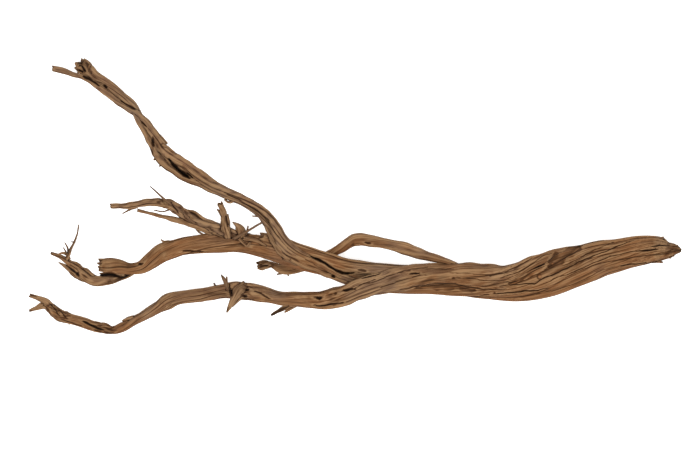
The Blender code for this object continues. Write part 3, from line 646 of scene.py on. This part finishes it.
pits = {"middle": (139, -115, 2.0), "right": (195, -136, 2.0)}  # x, y and radius
pitDepth = 1.2  # as a share of its radius
# waves along a crack, with the length of each in millimetres: how far its middle wavers, in half widths, and
# how much its width does, as shares of it
waver = ((0.3, 4.3), (0.15, 1.9))
swell = ((0.22, 7), (0.12, 3))
tipWidth = 0.15  # the share of its width that a crack keeps at its ends
sharpest = 4  # the widest split that is drawn sharp, in millimetres
farAway = 9.0  # out of a crack's reach, in half widths of it


def readVectors(items, name):
    values = np.empty(len(items) * 3)
    items.foreach_get(name, values)
    return values.reshape(-1, 3)


def readValues(mesh, name):
    values = np.empty(len(mesh.vertices))
    mesh.attributes[name].data.foreach_get("value", values)
    return values


def pairMeans(pairs, values):
    # for each point, the mean of the values at the points that share an edge with it
    total = np.zeros_like(values)
    np.add.at(total, pairs[:, 0], values[pairs[:, 1]])
    np.add.at(total, pairs[:, 1], values[pairs[:, 0]])
    count = np.bincount(pairs.ravel(), minlength=len(values)).reshape(-1, *([1] * (values.ndim - 1)))
    return total / np.maximum(count, 1)


def hollowness(pairs, co, normals, rounds):
    # how far each point lies below its surroundings, in millimetres
    smooth = co
    for _ in range(rounds):
        smooth = 0.5 * smooth + 0.5 * pairMeans(pairs, smooth)
    return np.einsum("ij,ij->i", smooth - co, normals)


def unevenness(waves, place, start):
    return sum(height * np.sin(place / length + turn) for (height, length), turn in zip(waves, start))


def shareAcross(xy, line, width):
    # how far across the line each point lies, signed, as a share of its half width there, and how far past
    # its ends; the line tapers and is never quite even
    points = np.array(line, float)
    spans = np.linalg.norm(np.diff(points, axis=0), axis=1)
    reached = np.concatenate([[0], np.cumsum(spans)])
    best = np.full(len(xy), 1e9)
    place = np.zeros(len(xy))
    across = np.zeros(len(xy))
    past = np.zeros(len(xy))
    for a, b, start, span in zip(points, points[1:], reached, spans):
        heading = (b - a) / span
        along = (xy - a) @ heading
        beside = (xy - a) @ (-heading[1], heading[0])
        over = np.maximum(np.maximum(-along, along - span), 0)
        away = np.hypot(beside, over)
        closer = away < best
        inner = (start + along > 0) & (start + along < reached[-1])
        best = np.where(closer, away, best)
        place = np.where(closer, start + np.clip(along, 0, span), place)
        across = np.where(closer, np.where(inner, np.sign(beside) * away, beside), across)
        past = np.where(closer, np.where(inner, 0, over), past)
    across = across + unevenness(waver, place, line[0])
    taper = tipWidth + (1 - tipWidth) * np.sqrt(np.clip(np.sin(math.pi * place / reached[-1]), 0, 1))
    half = 0.5 * width * taper * (1 + unevenness(swell, place, line[0]))
    return across / half, past / half


def carve(co, normals):
    # the cracks, knots and pits of the upper side; gives the new points, where each lies across its nearest
    # narrow crack, and how far it is from the nearest wide one
    drop = np.zeros(len(co))
    crack = np.full((len(co), 3), farAway)
    hollow = np.full(len(co), farAway)
    knot = np.full((len(co), 3), farAway)
    behind = 3 * (1 - step01(normals[:, 2], -0.25, 0.15))

    for width, depth, dark, line in {**splits, **hollows, **stainsAndShade}.values():
        across, past = shareAcross(co[:, :2], line, width)
        away = np.abs(across) + past + behind
        drop = np.maximum(drop, depth * np.clip(1 - away**2, 0, 1))
        if width > sharpest:
            hollow = np.minimum(hollow, away + 1 - dark)
            continue
        found = np.stack([across, past + behind + 1 - dark, 0.5 * width * np.abs(across)], axis=-1)
        closer = away + 1 - dark < np.abs(crack[:, 0]) + crack[:, 1]
        crack[closer] = found[closer]
    for x, y, radius, height in knotRings.values():
        offset = np.stack([(co[:, 0] - x) / radius, (co[:, 1] - y) / radius, behind], axis=-1)
        away = np.hypot(offset[:, 0], offset[:, 1]) + behind
        closer = away < np.hypot(knot[:, 0], knot[:, 1]) + knot[:, 2]
        knot[closer] = offset[closer]
        drop = drop - height * np.exp(-((away / 1.1) ** 4))
    for x, y, radius in pits.values():
        away = np.hypot(co[:, 0] - x, co[:, 1] - y) / radius + behind
        drop = np.maximum(drop, pitDepth * radius * np.clip(1 - away**2, 0, 1))
        hollow = np.minimum(hollow, away + 0.1)
    carved = co.copy()
    carved[:, 2] -= drop
    return carved, crack, hollow, knot


# where the wood is torn and knotty: x, y, radius and how high the torn fibres stand
roughSpots = {
    "knob": (-382, 182, 11, 1.3),
    "elbow": (-284, 67, 20, 0.8),
    "frontTip": (-415, -163, 24, 1.0),
    "frontBend": (-351, -186, 20, 0.9),
    "loopTip": (-387, -107, 22, 0.9),
    "crown": (-231, -30, 18, 0.6),
    "crownKnot": (-268, -14, 12, 0.7),
    "bark": (-152, -59, 21, 0.5),
    "spurRoot": (-154, -132, 14, 0.9),
    "forkKnots": (-30, -136, 16, 0.6),
    "shelf": (-128, -97, 12, 1.2),
    "trunkEnd": (449, -76, 16, 0.8),
}
# where the wood is redder, or greyer where it is below 0: x, y, radius and how much
warmSpots = {
    "tip": (432, -67, 18, -0.55),
    "fork": (-58, -108, 62, 0.45),
    "loop": (-15, -68, 42, 0.3),
    "tangle": (-150, -58, 36, 0.35),
    "crown": (-262, -20, 100, 0.35),
    "left": (-215, -105, 170, -0.27),
    "joint": (25, -128, 62, -0.4),
}
# where sand has worn the wood smooth: x, y, reach along x and along y
smoothSpots = {
    "joint": (105, -118, 85, 24),
    "lowEdge": (318, -133, 80, 13),
    "hollow": (290, -86, 34, 20),
    "hollowCore": (290, -86, 26, 15),
}
smoothing = dict(rounds=8, share=0.5)
hollowRounds = dict(fine=3, deep=30)  # rounds of smoothing that give the near and the wider surroundings


def edgePairs(mesh):
    pairs = np.empty(len(mesh.edges) * 2, int)
    mesh.edges.foreach_get("vertices", pairs)
    return pairs.reshape(-1, 2)


def spotShare(co, x, y, reachX, reachY, core):
    # 1 in the core of a spot, falling to 0 at its edge
    return step01(np.hypot((co[:, 0] - x) / reachX, (co[:, 1] - y) / reachY), 1.0, core)


def wearWood(mesh):
    # small bumps, places that sand wore smooth, torn places and cracks, and what the colour is laid on by
    print("carving the wood")
    co = readVectors(mesh.vertices, "co") / mm
    normals = readVectors(mesh.vertex_normals, "vector")
    grain = readVectors(mesh.attributes["grain"].data, "vector")
    worn = readValues(mesh, "broken")
    # both ripples are drawn out along the grain
    bumps = ripple(grain * (1, 1, 0.2), surface["bumpSize"], firstSeed["bumps"])
    co += (surface["bump"] * step01(worn, 0.8, 0.5) * bumps)[:, None] * normals

    pairs = edgePairs(mesh)
    faceUp = step01(normals[:, 2], -0.2, 0.3)
    for x, y, reachX, reachY in smoothSpots.values():
        share = (smoothing["share"] * spotShare(co, x, y, reachX, reachY, 0.6) * faceUp)[:, None]
        for _ in range(smoothing["rounds"]):
            co = co + share * (pairMeans(pairs, co) - co)

    fibres = ripple(grain * (1, 1, 0.28), surface["fibreSize"], firstSeed["fibres"])
    torn = np.zeros(len(co))
    for x, y, radius, height in roughSpots.values():
        near = spotShare(co, x, y, radius, radius, 0.4) * step01(worn, 0.6, 0.4)
        co += (near * height * fibres)[:, None] * normals
        torn = np.maximum(torn, near)

    carved, crack, hollow, knot = carve(co, normals)
    warm = readValues(mesh, "warm")
    for x, y, radius, more in warmSpots.values():
        warm += more * spotShare(co, x, y, radius, radius, 0.3)
    # painted light: the side towards the front of the picture is painted warmer, as if lit by light bounced
    # up from the floor
    warm = np.maximum(warm, 0) * (0.7 + 0.7 * step01(-normals[:, 1], -0.2, 0.8))
    # painted shade: the steep sides of each limb, facing neither up nor down, are darkened as if less lit
    flank = step01(normals[:, 2], 0.5, 0.1) * step01(normals[:, 2], -0.7, -0.3)

    # the wood stays in the solid's box, which keeps the flat spots that it rests on
    low, high = np.array(cadBox) / mm
    mesh.vertices.foreach_set("co", (np.clip(carved, low, high) * mm).ravel())
    setPointValues(mesh, crack=crack, hollow=hollow, knot=knot, torn=torn, flank=flank, warm=warm)
    mesh.update()


def clearFolds(mesh):
    # every face a triangle; two faces on the same three points are a fold of no thickness, so both go
    bm = bmesh.new()
    bm.from_mesh(mesh)
    bmesh.ops.triangulate(bm, faces=bm.faces)
    sharing = {}
    for face in bm.faces:
        sharing.setdefault(frozenset(face.verts), []).append(face)
    folded = [face for same in sharing.values() for face in same[: len(same) // 2 * 2]]
    bmesh.ops.delete(bm, geom=folded, context="FACES")
    bm.to_mesh(mesh)
    bm.free()


def measureHollows(mesh):
    # how far each point lies below its near surroundings and below its wider ones
    pairs = edgePairs(mesh)
    co = readVectors(mesh.vertices, "co") / mm
    normals = readVectors(mesh.vertex_normals, "vector")
    fine = hollowness(pairs, co, normals, hollowRounds["fine"])
    deep = hollowness(pairs, co, normals, hollowRounds["deep"])
    setPointValues(mesh, fineHollow=fine, deepHollow=deep)


# the wood's colours, as they look in daylight; furrow and crack are also laid on as painted shade
woodColours = dict(
    light="#7f5f41",
    middle="#684a2e",
    dark="#452b18",
    furrow="#301c0c",
    crack="#0d0704",
    crest="#876a4b",
    grey="#685b50",
    red="#764826",
)
# dry wood has no gloss: a rough surface that gives hardly any reflection
woodShine = {"Roughness": 0.88, "Metallic": 0.0, "IOR": 1.45, "Specular IOR Level": 0.08}
fibreStrength, fibreHeight = 0.7, 1.2  # the fine fibres' bump, with its height in millimetres
# noise drawn out along the grain: its size across and along it in millimetres, and its detail. Real fibres
# are finer than these, which are as coarse as they must be to show.
woodNoise = {
    "fine": (1.3, 34, 5),
    "band": (5.0, 110, 3),
    "spots": (4, 16, 3),
    "line": (3.4, 130, 2),
    "hair": (1.5, 60, 2),
}
patchSize = 70  # stains, in millimetres
noiseRoughness = 0.55
# what each point of the mesh holds: one number or three
pointValues = ("warm", "broken", "torn", "flank", "hollow", "fineHollow", "deepHollow")
pointVectors = ("crack", "seam", "furrow", "knot")
# what is worked out for the colour: the result, the operation and what it works on; RAMP runs smoothly from
# 0 to 1 between two values
woodSteps = [
    # how far each place is from the nearest crack, seam or hollow, in half widths of it; a crack's line stops
    # about 3 mm from its middle
    ("crackSide", "ABSOLUTE", "crackX"),
    ("crackSide", "ADD", "crackSide", "crackY"),
    ("crackPast", "RAMP", "crackZ", 2.4, 3.2),
    ("crackPast", "MULTIPLY", "crackPast", 3),
    ("crackAway", "ADD", "crackSide", "crackPast"),
    ("seamAway", "ABSOLUTE", "seamX"),
    ("seamAway", "ADD", "seamAway", "seamY"),
    ("away", "MINIMUM", "crackAway", "seamAway"),
    ("away", "MINIMUM", "away", "hollow"),
    ("crackRim", "RAMP", "away", 1.1, 0.4),
    ("crackCore", "RAMP", "away", 0.6, 0.2),
    # a ring round each knot, rubbed away on one side
    ("knotSide", "MULTIPLY", "knotX", "knotX"),
    ("knotAlong", "MULTIPLY", "knotY", "knotY"),
    ("knotAway", "ADD", "knotSide", "knotAlong"),
    ("knotAway", "SQRT", "knotAway"),
    ("knotAway", "ADD", "knotAway", "knotZ"),
    ("knotCore", "RAMP", "knotAway", 1.1, 0.5),
    ("ringInside", "RAMP", "knotAway", 0.35, 0.9),
    ("ringOutside", "RAMP", "knotAway", 1.5, 1.0),
    ("ring", "MULTIPLY", "ringInside", "ringOutside"),
    ("rubbed", "MULTIPLY", "fine", 0.8),
    ("rubbed", "ADD", "rubbed", "knotX"),
    ("rubbed", "RAMP", "rubbed", 1.5, 0.4),
    ("ring", "MULTIPLY", "ring", "rubbed"),
    # fine furrows between the fibres, darkened as grain and as painted shade in the groove
    ("cut", "ABSOLUTE", "furrowX"),
    ("cut", "RAMP", "cut", 0.26, 0.0),
    ("cut", "MULTIPLY", "cut", "furrowY"),
    # fibres, bands and stained patches, pale crests, hollows darkened as painted shade and dirt, torn places
    # and broken ends
    ("pale", "RAMP", "fine", 0.32, 0.68),
    ("banded", "RAMP", "band", 0.3, 0.75),
    ("greyStain", "RAMP", "patch", 0.5, 0.75),
    ("redStain", "RAMP", "patch", 0.5, 0.25),
    ("cool", "RAMP", "warm", 0.5, 0.0),
    ("crest", "RAMP", "fineHollow", -0.02, -0.22),
    ("fineShadeAndDirt", "RAMP", "fineHollow", 0.02, 0.22),
    ("deepShadeAndDirt", "RAMP", "deepHollow", 0.5, 2.2),
    ("tornDark", "RAMP", "spots", 0.45, 0.62),
    ("tornDark", "MULTIPLY", "tornDark", "torn"),
    ("tornGrey", "RAMP", "spots", 0.42, 0.3),
    ("tornGrey", "MULTIPLY", "tornGrey", "torn"),
    ("endDark", "RAMP", "broken", 0.6, 0.85),
]
# dark lines where a slow noise crosses its middle: long ones on the bands and short hairs between them
for name, width, low, high in (("line", 0.035, 0.35, 0.6), ("hair", 0.05, 0.65, 0.4)):
    woodSteps += [
        (name, "SUBTRACT", name, 0.5),
        (name, "ABSOLUTE", name),
        (name, "RAMP", name, width, 0.0),
        (name + "Band", "RAMP", "band", low, high),
        (name, "MULTIPLY", name, name + "Band"),
    ]
# the colours laid one over another on dark wood: where each goes, how strongly, and which it is. The flanks
# are painted shade; furrows, hollows, cracks and seams are darkened with painted shade and some dirt.
woodLayers = [
    ("pale", 1.0, "light"),
    ("banded", 0.45, "middle"),
    ("greyStain", 0.4, "grey"),
    ("redStain", 0.35, "red"),
    ("warm", 0.38, "red"),
    ("cool", 0.3, "grey"),
    ("crest", 0.6, "crest"),
    ("broken", 0.4, "grey"),
    ("tornDark", 0.7, "dark"),
    ("tornGrey", 0.4, "grey"),
    ("hair", 0.75, "dark"),
    ("line", 0.62, "furrow"),
    ("cut", 0.5, "furrow"),
    ("endDark", 0.55, "dark"),
    # painted shade with some dirt in the near and the wider hollows
    ("fineShadeAndDirt", 0.75, "furrow"),
    ("deepShadeAndDirt", 0.42, "furrow"),
    # the painted shade on the flanks
    ("flank", 0.32, "furrow"),
    # painted shade with some dirt in cracks, seams and wide hollows
    ("crackRim", 0.85, "furrow"),
    ("knotCore", 0.4, "red"),
    ("ring", 0.85, "furrow"),
    ("crackCore", 1.0, "crack"),
]


def linearColour(code):
    # an sRGB hex colour as the linear colour that a shader takes
    parts = [int(code[i:i + 2], 16) / 255 for i in (1, 3, 5)]
    return [*(p / 12.92 if p <= 0.04045 else ((p + 0.055) / 1.055) ** 2.4 for p in parts), 1.0]


def addNode(tree, kind, settings, inputs, output=0):
    # a node with its settings; each input is linked to another node's output, or set; gives the output to use
    node = tree.nodes.new("ShaderNode" + kind)
    for name, value in settings.items():
        setattr(node, name, value)
    for name, value in inputs.items():
        if isinstance(value, bpy.types.NodeSocket):
            tree.links.new(value, node.inputs[name])
        else:
            node.inputs[name].default_value = value
    return node.outputs[output]


def weatheredVineWood():
    # Old vine wood, blown with sand and left dry: soft grain worn away between long hard fibres.
    # The fibres run with each limb, furrows and hollows are dark with dirt and painted shade, the flanks
    # carry a painted shade, crests are pale and greyed, and there is no gloss.
    wood = bpy.data.materials.new("sand-worn vine wood")
    wood.use_nodes = True
    tree = wood.node_tree
    shader = tree.nodes["Principled BSDF"]
    for name, value in woodShine.items():
        shader.inputs[name].default_value = value

    field = {}
    grain = addNode(tree, "Attribute", {"attribute_name": "grain"}, {}, "Vector")
    for name, (across, along, detail) in woodNoise.items():
        scale = (1 / across, 1 / across, 1 / along)
        laid = addNode(tree, "Mapping", {}, {"Vector": grain, "Scale": scale})
        settings = {"Vector": laid, "Scale": 1.0, "Detail": detail, "Roughness": noiseRoughness}
        field[name] = addNode(tree, "TexNoise", {}, settings)
    place = addNode(tree, "TexCoord", {}, {}, "Object")
    settings = {"Vector": place, "Scale": 1 / (patchSize * mm), "Detail": 3, "Roughness": noiseRoughness}
    field["patch"] = addNode(tree, "TexNoise", {}, settings)
    for name in pointValues:
        field[name] = addNode(tree, "Attribute", {"attribute_name": name}, {}, "Fac")
    for name in pointVectors:
        vector = addNode(tree, "Attribute", {"attribute_name": name}, {}, "Vector")
        for axis in "XYZ":
            field[name + axis] = addNode(tree, "SeparateXYZ", {}, {"Vector": vector}, axis)

    for result, operation, *terms in woodSteps:
        terms = [field.get(term, term) for term in terms]
        if operation == "RAMP":
            inputs = dict(zip(("Value", "From Min", "From Max"), terms))
            smooth = {"interpolation_type": "SMOOTHSTEP"}
            field[result] = addNode(tree, "MapRange", smooth, inputs)
        else:
            field[result] = addNode(tree, "Math", {"operation": operation}, dict(enumerate(terms)))

    colour = linearColour(woodColours["dark"])
    for where, strength, over in woodLayers:
        share = addNode(tree, "Math", {"operation": "MULTIPLY"}, {0: field[where], 1: strength})
        inputs = {0: share, 6: colour, 7: linearColour(woodColours[over])}  # 6 and 7 are the two colours
        colour = addNode(tree, "Mix", {"data_type": "RGBA"}, inputs, 2)
    tree.links.new(colour, shader.inputs["Base Color"])

    inputs = {"Height": field["fine"], "Strength": fibreStrength, "Distance": fibreHeight * mm}
    tree.links.new(addNode(tree, "Bump", {}, inputs), shader.inputs["Normal"])
    return wood


def makeWood():
    body = joinLimbs()
    body.name = "driftwoodPiece"
    body.data.name = "driftwoodPiece"
    wearWood(body.data)
    clearFolds(body.data)
    measureHollows(body.data)
    body.data.shade_smooth()
    print("wood triangles", len(body.data.polygons))
    body.data.materials.clear()
    body.data.materials.append(weatheredVineWood())
    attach(body, "root")
    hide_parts("driftwood")


# lengths in metres, lens and sensor in millimetres
studio = dict(
    floorSize=40.0,
    floorColour="#fbfbfa",
    floorGlow=0.35,
    aim=(-0.0066, -0.0519, 0.05),
    frameWidth=0.980,
    lens=700,
    sensor=36,
    farthest=50,
    skyColour="#ffffff",
    skyStrength=0.93,
)
# place in metres, side of the square lamp in metres, power in watts
lamps = {
    "key": ((-0.3, -0.6, 2.8), 1.6, 84),
    "fill": ((0.5, 1.4, 2.4), 2.4, 14),
}


def backLitPaper():
    # white studio paper on a light table: flat, with no gloss and a faint glow of its own
    paper = bpy.data.materials.new("back-lit white paper")
    paper.use_nodes = True
    shader = paper.node_tree.nodes["Principled BSDF"]
    white = linearColour(studio["floorColour"])
    looks = {"Base Color": white, "Roughness": 0.95, "Specular IOR Level": 0.1}
    looks |= {"Emission Color": white, "Emission Strength": studio["floorGlow"]}
    for name, value in looks.items():
        shader.inputs[name].default_value = value
    return paper


def layFloor():
    print("laying the floor")
    floor = bpy.data.objects.new("studioFloor", flatGrid("studioFloor", 1, 1, studio["floorSize"] / 2))
    floor.data.materials.append(backLitPaper())
    bpy.context.scene.collection.objects.link(floor)


def lightStudio():
    print("lighting the studio")
    aim = Vector(studio["aim"])
    for name, (place, side, power) in lamps.items():
        data = bpy.data.lights.new(name, "AREA")
        data.shape = "SQUARE"
        data.size = side
        data.energy = power
        lamp = bpy.data.objects.new(name, data)
        lamp.location = place
        lamp.rotation_euler = (aim - Vector(place)).to_track_quat("-Z", "Y").to_euler()
        bpy.context.scene.collection.objects.link(lamp)
    sky = bpy.context.scene.world or bpy.data.worlds.new("studio")
    bpy.context.scene.world = sky
    sky.use_nodes = True
    background = sky.node_tree.nodes["Background"]
    background.inputs["Color"].default_value = linearColour(studio["skyColour"])
    background.inputs["Strength"].default_value = studio["skyStrength"]
    bpy.context.scene.view_settings.view_transform = "Standard"


def aimCamera():
    # straight down from far off, as flat as the photograph
    data = bpy.data.cameras.new("camera")
    data.lens = studio["lens"]
    data.sensor_width = studio["sensor"]
    data.clip_end = studio["farthest"]
    camera = bpy.data.objects.new("camera", data)
    away = studio["frameWidth"] * studio["lens"] / studio["sensor"]
    camera.location = Vector(studio["aim"]) + Vector((0, 0, away))
    bpy.context.scene.collection.objects.link(camera)
    bpy.context.scene.camera = camera


aimCamera()
makeWood()
layFloor()
lightStudio()
